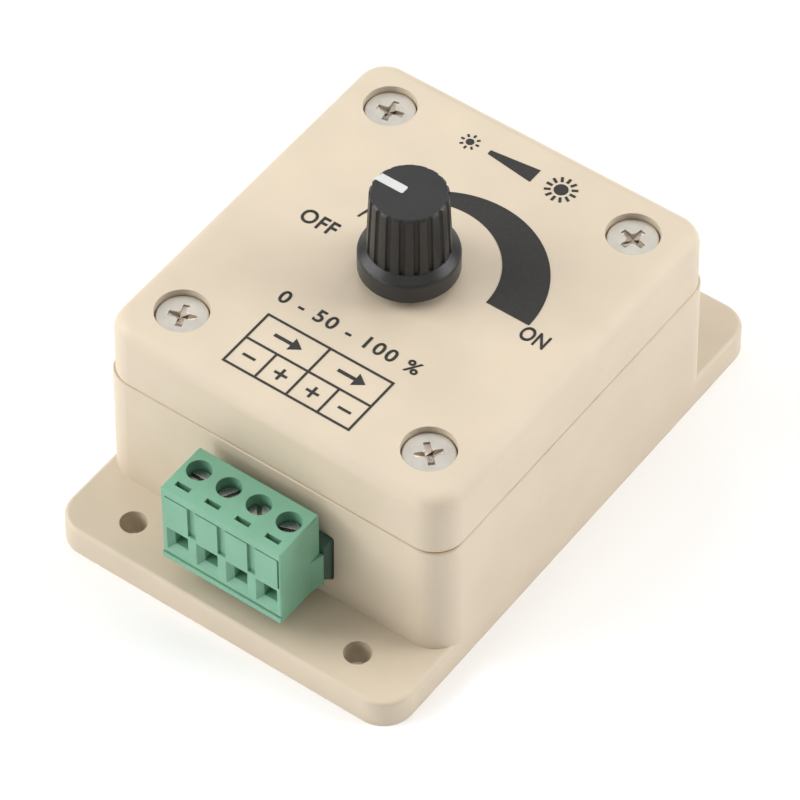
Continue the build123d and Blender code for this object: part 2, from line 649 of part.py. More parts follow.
def pot_shaft():
    """The split shaft, from the rotor up into the knob."""
    low = ROTOR_TOP - POT_ROTOR_HEIGHT
    shaft = rod(POT_SHAFT, SHAFT_TIP - low, (0, 0), low)
    shaft = chamfer(top_edges(shaft), POT_SHAFT_SLOT / 2)
    slot_low = SHAFT_TIP - POT_SHAFT_SLOT_DEPTH
    return shaft - block(POT_SHAFT_SLOT, 2 * POT_SHAFT, 2 * POT_SHAFT_SLOT_DEPTH, (0, 0), slot_low)


def pot_wiper():
    """The rotor that carries the wiper round under the wafer."""
    rotor = rod(POT_ROTOR, POT_ROTOR_HEIGHT, (0, 0), ROTOR_TOP - POT_ROTOR_HEIGHT)
    arm = POT_ROTOR / 2 - POT_SHEET
    rotor += block(arm, POT_SHEET * 3, POT_ROTOR_GAP / 2, (-arm / 2, 0), ROTOR_TOP)
    return rotor - rod(POT_SHAFT + 2 * PILOT_PLAY, TOP, (0, 0), POT_LOW)


def pot_washer():
    """The flat washer on the lid."""
    bore = POT_BUSH + 2 * POT_BUSH_PLAY
    return rod(WASHER, WASHER_THICKNESS, (0, 0), TOP) - rod(bore, TOP, (0, 0), TOP - WASHER_THICKNESS)


def pot_nut():
    """The hexagon nut that holds the potentiometer to the lid."""
    low = TOP + WASHER_THICKNESS
    nut = Pos(0, 0, low) * extrude(RegularPolygon(NUT_FLATS / 2, 6, major_radius=False), NUT_HEIGHT)
    return nut - rod(POT_BUSH + 2 * PILOT_PLAY, TOP, (0, 0), TOP)


def pot_wires():
    """Three slack wires from the lugs down to the board."""
    wires = []
    drop = LUG_TIP - BOARD_TOP
    for x in LUG_X:
        route = [(x, LUG_Y, LUG_TIP), (x, LUG_Y - WIRE_BOW, LUG_TIP - WIRE_BEND_SHARE * drop),
                 (x, LUG_Y + WIRE_BOW, BOARD_TOP + WIRE_BEND_SHARE * drop), (x, LUG_Y, BOARD_TOP)]
        corners = [Vector(*point) for point in route]
        radii = []
        for before, here, after in zip(corners, corners[1:], corners[2:]):
            turn = math.radians((here - before).get_angle(after - here))
            shorter = min((here - before).length, (after - here).length)
            radii.append(WIRE_ROUNDING * shorter / math.tan(turn / 2))
        path = FilletPolyline(*route, radius=radii)
        section = Plane(path @ 0, z_dir=path % 0) * Circle(WIRE / 2)
        tube = sweep(section, path=path)
        trim = block(PITCH, 4 * WIRE + 2 * WIRE_BOW, drop, (x, LUG_Y), BOARD_TOP)
        wires.append(tube & trim)
    return wires


def knob_blank():
    """The knob before its pointer groove: skirt, sloped ledge, tapered grip, hollow and bore."""
    skirt = KNOB_SKIRT / 2
    ledge_out = KNOB_LOW + KNOB_SKIRT_HEIGHT
    foot = KNOB_GRIP_FOOT / 2
    top = KNOB_GRIP_TOP / 2
    edge = KNOB_TOP_EDGE
    profile = Polyline((0, KNOB_LOW), (skirt, KNOB_LOW), (skirt, ledge_out), (foot, KNOB_LEDGE),
                       (top, KNOB_TOP - edge), (top - edge, KNOB_TOP), (0, KNOB_TOP), close=True)
    section = make_face(profile)
    rim = section.vertices().sort_by_distance((skirt, ledge_out, 0))[0]
    knob = revolve(Plane.XZ * fillet(rim, KNOB_SKIRT_EDGE), Axis.Z)
    lean = math.degrees(math.atan2(foot - top, KNOB_TOP - KNOB_LEDGE))
    height = 2 * (KNOB_TOP - KNOB_LEDGE)
    flute = Pos(0, 0, height / 2) * Cylinder(KNOB_FLUTE_RADIUS, height)
    out = foot - KNOB_FLUTE_DEPTH + KNOB_FLUTE_RADIUS
    flute = Pos(out, 0, KNOB_LEDGE) * Rot(0, -lean, 0) * flute
    for i in range(KNOB_FLUTES):
        knob -= Rot(0, 0, KNOB_FLUTE_TURN + i * 360 / KNOB_FLUTES) * flute
    knob -= rod(KNOB_SKIRT - 2 * KNOB_SHELL, 2 * KNOB_HOLLOW, (0, 0), KNOB_LOW - KNOB_HOLLOW)
    bore = POT_SHAFT + 2 * KNOB_BORE_PLAY
    return knob - rod(bore, KNOB_HEIGHT - KNOB_ROOF, (0, 0), KNOB_LOW)


def pointer_bar():
    """The bar from near the middle of the knob's top out past its edge."""
    length = KNOB_GRIP_TOP / 2
    middle = (-POINTER_START - length / 2, 0)
    bar = block(length, POINTER_WIDTH, 2 * POINTER_DEPTH, middle, KNOB_TOP - POINTER_DEPTH)
    return fillet(bar.edges().filter_by(Axis.Z).sort_by(Axis.X)[-2:], POINTER_CORNER)


def scale_print():
    """The crescent round the knob, a hair at the left and broad at the right."""
    inner = Pos(*SCALE_CENTRE) * Circle(SCALE_INNER)
    outer_centre = (SCALE_CENTRE[0] + SCALE_SHIFT[0], SCALE_CENTRE[1] + SCALE_SHIFT[1])
    crescent = Pos(*outer_centre) * Circle(SCALE_OUTER) - inner
    span = 2 * SCALE_OUTER
    crescent -= Pos(span / 2, SCALE_END - span / 2) * Rectangle(span, span)
    crescent -= Pos(-span / 2, SCALE_START - span / 2) * Rectangle(span, span)
    return Pos(0, 0, TOP) * extrude(crescent, INK)


def table_print():
    """The ruled table in front of the knob: two cells over four."""
    line = TABLE_LINE
    low = -BODY_LENGTH / 2 + TABLE_FROM_FRONT
    cell = (TABLE_WIDTH - line) / 4
    grid = Rectangle(TABLE_WIDTH, TABLE_HEIGHT) - Rectangle(TABLE_WIDTH - 2 * line, TABLE_HEIGHT - 2 * line)
    grid += Rectangle(TABLE_WIDTH, line) + Rectangle(line, TABLE_HEIGHT)
    for side in (-1, 1):
        grid += Pos(side * cell, -TABLE_HEIGHT / 4) * Rectangle(line, TABLE_HEIGHT / 2)
    return Pos(TABLE_SHIFT, low + TABLE_HEIGHT / 2, TOP) * extrude(grid, INK)


def lying_part(place, turn, diameter, length, span):
    """A round part that lies on the board, along Y or turned from it, with a lead at each end."""
    level = BOARD_TOP + diameter / 2
    foot = BOARD_UNDER - LEAD_BELOW
    seat = Pos(*place, 0) * Rot(0, 0, turn)
    body = Pos(0, 0, level) * Rot(90, 0, 0) * Cylinder(diameter / 2, length)
    body = fillet(body.edges(), LYING_EDGE)
    ends = []
    wires = []
    for side in (-1, 1):
        reach = (span - length) / 2 + LEAD / 2
        wire = block(LEAD, reach, LEAD, (0, side * (length + reach) / 2), level - LEAD / 2)
        wire += block(LEAD, LEAD, level - foot, (0, side * span / 2), foot)
        wires.append(seat * wire)
        end = Vector(0, side * span / 2).rotate(Axis.Z, turn)
        ends.append((place[0] + end.X, place[1] + end.Y))
    return {"body": seat * body, "wires": wires, "leads": ends}


def standing_capacitor(place):
    """An upright can with a rolled groove near its foot and two leads below."""
    x, y = place
    radius = CAP_DIAMETER / 2
    can = rod(CAP_DIAMETER, CAP_HEIGHT, place, BOARD_TOP)
    can = fillet(can.edges().filter_by(GeomType.CIRCLE), 2 * CAP_GROOVE)
    can -= Pos(x, y, BOARD_TOP + CAP_GROOVE_LEVEL) * Torus(radius + CAP_GROOVE / 2, CAP_GROOVE)
    ends = [(x - CAP_LEAD_PITCH / 2, y), (x + CAP_LEAD_PITCH / 2, y)]
    foot = BOARD_UNDER - LEAD_BELOW
    wires = [rod(LEAD, BOARD_TOP - foot, end, foot) for end in ends]
    return {"body": can, "wires": wires, "leads": ends}


def timer_chip():
    """An eight-leg moulded chip body with its end notch."""
    low = BOARD_TOP + CHIP_STAND
    chip = block(CHIP_WIDTH, CHIP_LENGTH, CHIP_HEIGHT, (CHIP_X, 0), low)
    return chip - rod(CHIP_WIDTH / 4, CHIP_HEIGHT, (CHIP_X, CHIP_LENGTH / 2), low + CHIP_HEIGHT / 2)


def chip_legs():
    """Eight bent legs: out from the body, down through the board."""
    legs = []
    shoulder = BOARD_TOP + CHIP_STAND + CHIP_HEIGHT / 2
    foot = BOARD_UNDER - LEAD_BELOW
    for x, y in CHIP_LEGS:
        side = math.copysign(1, x - CHIP_X)
        reach = (CHIP_LEG_SPAN + CHIP_LEG - CHIP_WIDTH) / 2
        arm_x = CHIP_X + side * (CHIP_WIDTH + reach) / 2
        arm = block(reach, LEAD, CHIP_LEG, (arm_x, y), shoulder - CHIP_LEG / 2)
        legs.append(arm + block(CHIP_LEG, LEAD, shoulder - foot, (x, y), foot))
    return legs


def power_body():
    """The moulded body of the power transistor, standing on its legs."""
    return block(POWER_WIDTH, POWER_THICKNESS, POWER_BODY, (0, POWER_Y), BOARD_TOP + POWER_LEG_LENGTH)


def power_frame():
    """The transistor's metal tab and its three legs."""
    y = POWER_Y + (POWER_THICKNESS + POWER_TAB) / 2
    low = BOARD_TOP + POWER_LEG_LENGTH
    height = POWER_BODY + POWER_TAB_ABOVE
    tab = block(POWER_WIDTH, POWER_TAB, height, (0, y), low)
    hole_level = low + POWER_BODY + POWER_TAB_ABOVE / 2
    tab -= Pos(0, y, hole_level) * Rot(90, 0, 0) * Cylinder(POWER_TAB_HOLE / 2, 4 * POWER_TAB)
    foot = BOARD_UNDER - LEAD_BELOW
    legs = [block(LEAD, LEAD, low - foot, (x, POWER_Y), foot) for x in POWER_LEGS]
    return [tab, *legs]


# Places of the parts on the board
POWER_Y = BOARD_REAR - POWER_FROM_REAR
POWER_LEGS = [-POWER_LEG_PITCH, 0.0, POWER_LEG_PITCH]
CAP_X = -(BOARD_HALF - CAP_DIAMETER / 2 - EDGE_MARGIN)
CAP_Y = POWER_Y - POWER_THICKNESS / 2 - POWER_TAB - EDGE_MARGIN - CAP_DIAMETER / 2
CAPACITOR = standing_capacitor((CAP_X, CAP_Y))
RESISTOR_X = -(BOARD_HALF - EDGE_MARGIN - (LEAD + RESISTOR_SPAN) / 2)
RESISTOR_Y = CAP_Y - CAP_DIAMETER / 2 - EDGE_MARGIN - RESISTOR_DIAMETER / 2
RESISTORS = []
for row in range(RESISTOR_ROWS):
    row_place = (RESISTOR_X, RESISTOR_Y - row * PART_SPACING)
    RESISTORS.append(lying_part(row_place, 90, RESISTOR_DIAMETER, RESISTOR_LENGTH, RESISTOR_SPAN))
CHIP_X = RESISTOR_X + (RESISTOR_SPAN + LEAD + CHIP_LEG_SPAN + CHIP_LEG) / 2 + EDGE_MARGIN
CHIP_ROW = [(i - (CHIP_ROW_LEGS - 1) / 2) * CHIP_LEG_PITCH for i in range(CHIP_ROW_LEGS)]
CHIP_LEGS = [(CHIP_X + sx * CHIP_LEG_SPAN / 2, y) for sx in (-1, 1) for y in CHIP_ROW]
DIODE_X = BOARD_HALF - DIODE_DIAMETER / 2 - EDGE_MARGIN
DIODE = lying_part((DIODE_X, 0), 0, DIODE_DIAMETER, DIODE_LENGTH, DIODE_SPAN)

KNOB = knob_blank()
POINTER = pointer_bar()

PIECES = {
    "base_shell": base_shell(),
    "lid_shell": lid_shell(),
    "lid_screws": lid_screws(),
    "circuit_board": circuit_board(),
    "board_screws": board_screws(),
    "terminal_header": terminal_header(),
    "header_pins": header_pins(),
    "plug_housing": plug_housing(),
    "plug_contacts": plug_contacts(),
    "pot_bushing": pot_bushing(),
    "pot_wafer": pot_wafer(),
    "pot_lugs": pot_lugs(),
    "pot_can": pot_can(),
    "pot_shaft": pot_shaft(),
    "pot_wiper": pot_wiper(),
    "pot_washer": pot_washer(),
    "pot_nut": pot_nut(),
    "pot_wires": pot_wires(),
    "knob": KNOB - POINTER,
    "knob_pointer": KNOB & POINTER,
    "scale_print": scale_print(),
    "table_print": table_print(),
    "capacitor": CAPACITOR["body"],
    "timer_chip": timer_chip(),
    "chip_legs": chip_legs(),
    "power_transistor": power_body(),
    "transistor_frame": power_frame(),
    "diode": DIODE["body"],
    "resistors": [part["body"] for part in RESISTORS],
    "component_leads": CAPACITOR["wires"] + DIODE["wires"] + [w for part in RESISTORS for w in part["wires"]],
}
for number, pole in enumerate(POLE_X, start=1):
    PIECES[f"clamp_screw_{number}"] = clamp_screw(pole, CLAMP_TURNS[(number - 1) % len(CLAMP_TURNS)])
    PIECES[f"clamp_cage_{number}"] = clamp_cage(pole)

os.makedirs("parts", exist_ok=True)
for name, shape in PIECES.items():
    solids = shape if isinstance(shape, list) else [shape]
    export_step(Compound(children=[s for part in solids for s in part.solids()]), f"parts/{name}.step")
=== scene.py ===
"""Surface-mounted rotary dimmer: finishes, printing, screws, light and camera around the CAD frame."""

import math

import bmesh
import bpy
from mathutils import Matrix, Vector


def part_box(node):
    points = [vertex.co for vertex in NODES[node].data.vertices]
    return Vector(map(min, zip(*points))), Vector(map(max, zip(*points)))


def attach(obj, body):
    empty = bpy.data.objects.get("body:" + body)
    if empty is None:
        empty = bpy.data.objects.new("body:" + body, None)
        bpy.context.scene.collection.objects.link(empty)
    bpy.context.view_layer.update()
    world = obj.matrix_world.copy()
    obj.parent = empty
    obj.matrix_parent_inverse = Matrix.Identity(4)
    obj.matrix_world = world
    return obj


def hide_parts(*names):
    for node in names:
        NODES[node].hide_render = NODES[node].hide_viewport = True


bl_info = {
    "name": "Surface-mounted dimmer",
    "version": (1, 0, 0),
    "blender": (4, 5, 0),
    "location": "3D View > Sidebar > Dimmer",
    "description": "Dresses the dimmer's CAD frame with finishes, printing and screws, and sets its stage",
    "category": "Object",
}

MM = 0.001
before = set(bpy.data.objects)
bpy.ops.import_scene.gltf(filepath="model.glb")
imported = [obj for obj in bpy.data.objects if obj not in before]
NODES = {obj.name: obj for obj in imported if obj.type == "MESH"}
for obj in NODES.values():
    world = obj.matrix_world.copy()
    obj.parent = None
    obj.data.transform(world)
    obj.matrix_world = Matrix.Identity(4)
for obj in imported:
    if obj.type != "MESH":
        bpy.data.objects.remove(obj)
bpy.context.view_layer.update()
LID_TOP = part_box("lid_shell")[1].z
LIP_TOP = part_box("base_shell")[1].z
TABLE_LOW, TABLE_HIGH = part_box("table_print")
POLES = range(1, 5)


# Settings that a user would change

class DimmerCase(bpy.types.PropertyGroup):
    """Look of the moulded case."""

    ivory: bpy.props.FloatVectorProperty(
        name="Ivory", description="Colour of the case and lid", subtype="COLOR", size=3, min=0, max=1,
        default=(0.614, 0.520, 0.397))
    grain: bpy.props.FloatProperty(
        name="Grain", description="Size of the spark-eroded texture of the mould", subtype="DISTANCE",
        unit="LENGTH", default=0.35 * MM)
    edge: bpy.props.FloatProperty(
        name="Edge", description="Radius that the light sees on sharp moulded edges", subtype="DISTANCE",
        unit="LENGTH", default=0.15 * MM)
    # Level at which a painted shade line is drawn along the gap between lid and base
    seam: bpy.props.FloatProperty(
        name="Seam", description="Level of the shaded line where the lid meets the base", subtype="DISTANCE",
        unit="LENGTH", default=LIP_TOP - 1.6 * MM)
    roughness: bpy.props.FloatProperty(
        name="Roughness", description="Roughness of the moulded plastic", subtype="FACTOR", min=0, max=1,
        default=0.46)


class DimmerPrint(bpy.types.PropertyGroup):
    """Look and sizes of the printing on the lid."""

    ink: bpy.props.FloatVectorProperty(
        name="Ink", description="Colour of the screen print", subtype="COLOR", size=3, min=0, max=1,
        default=(0.037, 0.036, 0.0342))
    thickness: bpy.props.FloatProperty(
        name="Ink thickness", description="How far the print stands off the lid", subtype="DISTANCE",
        unit="LENGTH", default=0.06 * MM)
    letter: bpy.props.FloatProperty(
        name="Letter height", description="Height of the capitals at the ends of the scale",
        subtype="DISTANCE", unit="LENGTH", default=2.6 * MM)
    figure: bpy.props.FloatProperty(
        name="Figure height", description="Height of the figures above the table", subtype="DISTANCE",
        unit="LENGTH", default=2.3 * MM)
    stroke: bpy.props.FloatProperty(
        name="Stroke", description="Width of the lines of signs and arrows", subtype="DISTANCE",
        unit="LENGTH", default=0.42 * MM)
    weight: bpy.props.FloatProperty(
        name="Weight", description="How much bolder the letters are, as a share of their size",
        min=0, max=0.05, default=0.018)


class DimmerKnob(bpy.types.PropertyGroup):
    """Look of the knob."""

    black: bpy.props.FloatVectorProperty(
        name="Black", description="Colour of the knob", subtype="COLOR", size=3, min=0, max=1,
        default=(0.027, 0.027, 0.0265))
    pointer: bpy.props.FloatVectorProperty(
        name="Pointer", description="Colour of the pointer line", subtype="COLOR", size=3, min=0, max=1,
        default=(0.60, 0.60, 0.59))
    roughness: bpy.props.FloatProperty(
        name="Roughness", description="Roughness of the knob", subtype="FACTOR", min=0, max=1, default=0.34)
    edge: bpy.props.FloatProperty(
        name="Edge", description="Radius that the light sees on the edges of the flutes", subtype="DISTANCE",
        unit="LENGTH", default=0.25 * MM)


class DimmerScrews(bpy.types.PropertyGroup):
    """Sizes of the lid screws."""

    cross: bpy.props.FloatProperty(
        name="Cross", description="Tip to tip length of the cross recess", subtype="DISTANCE",
        unit="LENGTH", default=4.0 * MM)
    cross_width: bpy.props.FloatProperty(
        name="Cross width", description="Width of the arms of the cross recess", subtype="DISTANCE",
        unit="LENGTH", default=0.95 * MM)
    thread: bpy.props.FloatProperty(
        name="Thread", description="Height of one crest of the thread", subtype="DISTANCE",
        unit="LENGTH", default=1.3 * MM)
    metal: bpy.props.FloatVectorProperty(
        name="Metal", description="Colour of the plated screws", subtype="COLOR", size=3, min=0, max=1,
        default=(0.64, 0.608, 0.545))


class DimmerTerminal(bpy.types.PropertyGroup):
    """Look of the terminal plug and its header."""

    green: bpy.props.FloatVectorProperty(
        name="Green", description="Colour of the terminal's plastic", subtype="COLOR", size=3, min=0, max=1,
        default=(0.172, 0.384, 0.258))
    # The header's colour is the plug's green made much darker: painted shade, as the header sits in the
    # case's shadow
    shadowed_green: bpy.props.FloatVectorProperty(
        name="Shroud", description="Colour of the header that the plug goes into", subtype="COLOR", size=3,
        min=0, max=1, default=(0.050, 0.114, 0.085))
    grain: bpy.props.FloatProperty(
        name="Grain", description="Size of the plastic's surface texture", subtype="DISTANCE", unit="LENGTH",
        default=0.25 * MM)


class DimmerStage(bpy.types.PropertyGroup):
    """Place and lens of the camera."""

    azimuth: bpy.props.FloatProperty(
        name="Azimuth", description="Direction of the camera round the object", subtype="ANGLE",
        unit="ROTATION", default=math.radians(36.171))
    elevation: bpy.props.FloatProperty(
        name="Elevation", description="Height of the camera above the horizon", subtype="ANGLE",
        unit="ROTATION", default=math.radians(49.433))
    distance: bpy.props.FloatProperty(
        name="Distance", description="Distance from the camera to its target", subtype="DISTANCE",
        unit="LENGTH", default=681.5 * MM)
    lens: bpy.props.FloatProperty(
        name="Lens", description="Focal length in millimetres on a 36 mm sensor", default=217.794)
    target: bpy.props.FloatVectorProperty(
        name="Target", description="Point that the camera looks at", subtype="TRANSLATION", unit="LENGTH",
        size=3, default=(0.145 * MM, -2.330 * MM, 10.317 * MM))


class DimmerSettings(bpy.types.PropertyGroup):
    """All settings of the dimmer."""

    case: bpy.props.PointerProperty(type=DimmerCase)
    printing: bpy.props.PointerProperty(type=DimmerPrint)
    knob: bpy.props.PointerProperty(type=DimmerKnob)
    screws: bpy.props.PointerProperty(type=DimmerScrews)
    terminal: bpy.props.PointerProperty(type=DimmerTerminal)
    stage: bpy.props.PointerProperty(type=DimmerStage)


# Materials

EDGE_SAMPLES = 4
PLASTIC_IOR = 1.5
WAVE_SHARE = 1.6
WAVE_DEPTH = 0.05 * MM
GRAIN_DEPTH = 0.02 * MM
# Painted shade along the seam between lid and base: its tint, half width and fade
SEAM_SHADE_TINT = (0.80, 0.74, 0.66)
SEAM_HALF = 0.08 * MM
SEAM_FADE = 0.1 * MM
STAIN_SIZE = 2.5 * MM
LINE_DEPTH = 0.01 * MM
# Painted shade in the recesses of plated metal: its tint and how far it fades up
RECESS_SHADE_TINT = (0.89, 0.82, 0.78)
RECESS_SHADE_FADE = 0.45 * MM
INK_WEAVE = 0.22 * MM
INK_DEPTH = 0.01 * MM
COPPER_RUN = 4 * MM
COPPER_DEPTH = 0.03 * MM
GLASS_WEAVE = 0.4 * MM
RESISTOR_COAT = (0.53, 0.36, 0.17)
RESISTOR_GRAIN = 0.6 * MM
# Colours of the rings, by the share of the length where each starts
RINGS = {0.2: (0.30, 0.09, 0.02), 0.4: (0.01, 0.01, 0.01), 0.57: (0.5, 0.07, 0.01),
         0.8: (0.45, 0.30, 0.05)}
RING_WIDTH = 0.07


def shade(colour, amount):
    """A colour made lighter or darker by a factor."""
    return tuple(min(1.0, c * amount) for c in colour)


def tinted(colour, tint):
    """A colour seen through a tint."""
    return tuple(c * t for c, t in zip(colour, tint))


class Finish:
    """A node material with one shader, and short calls for the textures that feed it."""

    def __init__(self, name, **values):
        self.material = bpy.data.materials.new(name)
        self.material.use_nodes = True
        self.tree = self.material.node_tree
        self.shader = self.tree.nodes["Principled BSDF"]
        self.place = self.tree.nodes.new("ShaderNodeTexCoord").outputs["Object"]
        for socket, value in values.items():
            self.shader.inputs[socket.replace("_", " ")].default_value = value

    def node(self, kind, inputs=None, **settings):
        """A new node with its settings made, and each of its inputs linked or set."""
        made = self.tree.nodes.new(kind)
        for key, value in settings.items():
            setattr(made, key, value)
        for key, value in (inputs or {}).items():
            if isinstance(value, bpy.types.NodeSocket):
                self.tree.links.new(value, made.inputs[key])
            else:
                made.inputs[key].default_value = value
        return made

    def feed(self, socket, source):
        """Links a texture to a socket of the shader."""
        self.tree.links.new(source, self.shader.inputs[socket])

    def along(self, axis):
        """The place on the object along one axis."""
        return self.node("ShaderNodeSeparateXYZ", {"Vector": self.place}).outputs[axis]

    def stretched(self, scale):
        """The place on the object, scaled along each axis."""
        return self.node("ShaderNodeMapping", {"Vector": self.place, "Scale": scale}).outputs["Vector"]

    def noise(self, size, detail=3.0, roughness=0.5, vector=None):
        """Cloudy noise whose features have a size in metres."""
        made = self.node("ShaderNodeTexNoise", {
            "Vector": vector or self.place, "Scale": 1 / size, "Detail": detail, "Roughness": roughness})
        return made.outputs["Fac"]

    def ramp(self, factor, stops, interpolation="LINEAR"):
        """Colours set out along a factor."""
        made = self.node("ShaderNodeValToRGB", {"Fac": factor})
        made.color_ramp.interpolation = interpolation
        elements = made.color_ramp.elements
        while len(elements) < len(stops):
            elements.new(0.5)
        for element, (position, colour) in zip(elements, stops):
            element.position = position
            element.color = (*colour, 1.0)
        return made.outputs["Color"]

    def shades(self, factor, colour, dark, light, start=0.3, end=0.7):
        """A colour that goes from a darker to a lighter shade along a factor."""
        return self.ramp(factor, [(start, shade(colour, dark)), (end, shade(colour, light))])

    def spread(self, factor, low, high, start=0.3, end=0.7):
        """Values from low to high, spread between two ends of a factor."""
        made = self.node("ShaderNodeMapRange", {
            "Value": factor, "From Min": start, "From Max": end, "To Min": low, "To Max": high})
        return made.outputs["Result"]

    def rounded(self, radius):
        """Normals that round off sharp edges."""
        return self.node("ShaderNodeBevel", {"Radius": radius}, samples=EDGE_SAMPLES).outputs["Normal"]

    def band(self, level, half, fade):
        """One within half of a level, and none past its fading edges."""
        gap = self.node("ShaderNodeMath", {0: self.along("Z"), 1: level}, operation="SUBTRACT").outputs[0]
        away = self.node("ShaderNodeMath", {0: gap}, operation="ABSOLUTE").outputs[0]
        return self.spread(away, 1.0, 0.0, half, half + fade)

    def mix(self, factor, below, above):
        """Two colours mixed by a factor."""
        inputs = {"Factor": factor, 6: below, 7: above}
        return self.node("ShaderNodeMix", inputs, data_type="RGBA").outputs[2]

    def bump(self, height, strength, depth, below=None):
        """Normals of a relief, over other normals where they are given."""
        inputs = {"Height": height, "Strength": strength, "Distance": depth}
        if below:
            inputs["Normal"] = below
        return self.node("ShaderNodeBump", inputs).outputs["Normal"]


def moulded(name, colour, grain, roughness, strength=0.22, mottle=9 * MM, contrast=0.03, edge=0.1 * MM,
            gloss=0.5, seam=None):
    """Injection-moulded plastic: faint cloudiness, a spark-eroded grain, soft edges and an uneven sheen."""
    finish = Finish(name, IOR=PLASTIC_IOR, Specular_IOR_Level=gloss)
    cloud = finish.noise(mottle, detail=4.0)
    face = finish.shades(cloud, colour, 1 - contrast, 1 + contrast)
    # Painted shade: a darker, browner band at the seam's level, standing in for the shade in the gap between
    # lid and base
    if seam is not None:
        seam_shade = finish.shades(cloud, tinted(colour, SEAM_SHADE_TINT), dark=0.85, light=1.15)
        face = finish.mix(finish.band(seam, SEAM_HALF, SEAM_FADE), face, seam_shade)
    finish.feed("Base Color", face)
    pits = finish.noise(grain, detail=2.0, roughness=0.6)
    finish.feed("Roughness", finish.spread(pits, roughness - 0.06, roughness + 0.08))
    swell = finish.noise(mottle * WAVE_SHARE, detail=1.0)
    waves = finish.bump(swell, strength=0.12, depth=WAVE_DEPTH, below=finish.rounded(edge))
    finish.feed("Normal", finish.bump(pits, strength, GRAIN_DEPTH, waves))
    return finish.material


def plated(name, colour, roughness, stretch=(1, 1, 1), size=0.3 * MM, strength=0.06, shade_below=None,
           edge=0.05 * MM):
    """Plated metal with fine drawn lines along the least stretched axis, faint stains, and painted shade in
    the recess.
    """
    finish = Finish(name, Metallic=1.0)
    stain = finish.noise(STAIN_SIZE)
    face = finish.shades(stain, colour, dark=0.9, light=1.05, start=0.25, end=0.75)
    # Painted shade: below the given level the metal turns darker and warmer, standing in for shade in the
    # recess
    if shade_below is not None:
        depth = finish.spread(finish.along("Z"), 0.0, 1.0, shade_below - RECESS_SHADE_FADE, shade_below)
        recess_shade = finish.shades(stain, tinted(colour, RECESS_SHADE_TINT), dark=0.7, light=1.3)
        face = finish.mix(depth, recess_shade, face)
    finish.feed("Base Color", face)
    lines = finish.noise(size, detail=2.0, roughness=0.6, vector=finish.stretched(stretch))
    finish.feed("Roughness", finish.spread(lines, roughness - 0.07, roughness + 0.1))
    finish.feed("Normal", finish.bump(lines, strength, LINE_DEPTH, finish.rounded(edge)))
    return finish.material


def screen_ink(name, colour):
    """Screen-printed ink with pin-holes too small to show the lid, only its weave."""
    finish = Finish(name, IOR=1.45, Specular_IOR_Level=0.2)
    weave = finish.noise(INK_WEAVE, detail=2.0, roughness=0.7)
    finish.feed("Base Color", finish.shades(weave, colour, dark=0.85, light=1.3, end=0.72))
    finish.feed("Roughness", finish.spread(weave, low=0.42, high=0.6))
    finish.feed("Normal", finish.bump(weave, strength=0.15, depth=INK_DEPTH))
    return finish.material


def laminate(name):
    """Green lacquered board: paler runs of covered copper over the glass weave."""
    finish = Finish(name, IOR=PLASTIC_IOR)
    runs = finish.node("ShaderNodeTexBrick", {
        "Vector": finish.place, "Scale": 1 / COPPER_RUN, "Mortar Size": 0.06,
        "Color1": (0.016, 0.115, 0.045, 1), "Color2": (0.020, 0.135, 0.055, 1),
        "Mortar": (0.007, 0.062, 0.024, 1)})
    finish.feed("Base Color", runs.outputs["Color"])
    weave = finish.noise(GLASS_WEAVE, detail=2.0)
    finish.feed("Roughness", finish.spread(weave, low=0.22, high=0.36))
    finish.feed("Normal", finish.bump(runs.outputs["Fac"], strength=0.5, depth=-COPPER_DEPTH))
    return finish.material


def banded_coat(name, low, spacing):
    """Resistor lacquer with colour rings, worked out from the row that each resistor lies in."""
    finish = Finish(name, Roughness=0.4, IOR=PLASTIC_IOR)
    share = finish.spread(finish.along("X"), 0.0, 1.0, low, low + spacing)
    stops = [(0.0, RESISTOR_COAT)]
    for start, colour in RINGS.items():
        stops += [(start, colour), (start + RING_WIDTH, RESISTOR_COAT)]
    finish.feed("Base Color", finish.ramp(share, stops, "CONSTANT"))
    finish.feed("Normal", finish.bump(finish.noise(RESISTOR_GRAIN), strength=0.1, depth=GRAIN_DEPTH))
    return finish.material


# Pieces

MERGE = 1e-7
CAD_MERGE = 1e-6
SHARP_ANGLE = math.radians(35)
BREAK_ANGLE = math.radians(40)
FACE_UP = 0.9999


def dress(material, *nodes):
    """Gives CAD nodes a finish in place of the one that came with the frame."""
    for node in nodes:
        mesh = NODES[node].data
        mesh.materials.clear()
        mesh.materials.append(material)


def loose_object(name, data):
    """An object in the scene that carries a mesh, a curve, a lamp or the camera."""
    made = bpy.data.objects.new(name, data)
    bpy.context.scene.collection.objects.link(made)
    return made


def piece(name, mesh, body, material=None):
    """A finished mesh as an object that rides on a CAD body."""
    if material:
        mesh.materials.clear()
        mesh.materials.append(material)
    made = loose_object(name, mesh)
    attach(made, body)
    return made


def evaluated_mesh(made):
    """The object's mesh with its modifiers applied; the object itself is removed."""
    bpy.context.view_layer.update()
    graph = bpy.context.evaluated_depsgraph_get()
    mesh = bpy.data.meshes.new_from_object(made.evaluated_get(graph))
    mesh.name = made.name
    bpy.data.objects.remove(made)
    return mesh


def filled_mesh(name, shape):
    """A new mesh from an edited shape, which is set free."""
    mesh = bpy.data.meshes.new(name)
    shape.to_mesh(mesh)
    shape.free()
    return mesh


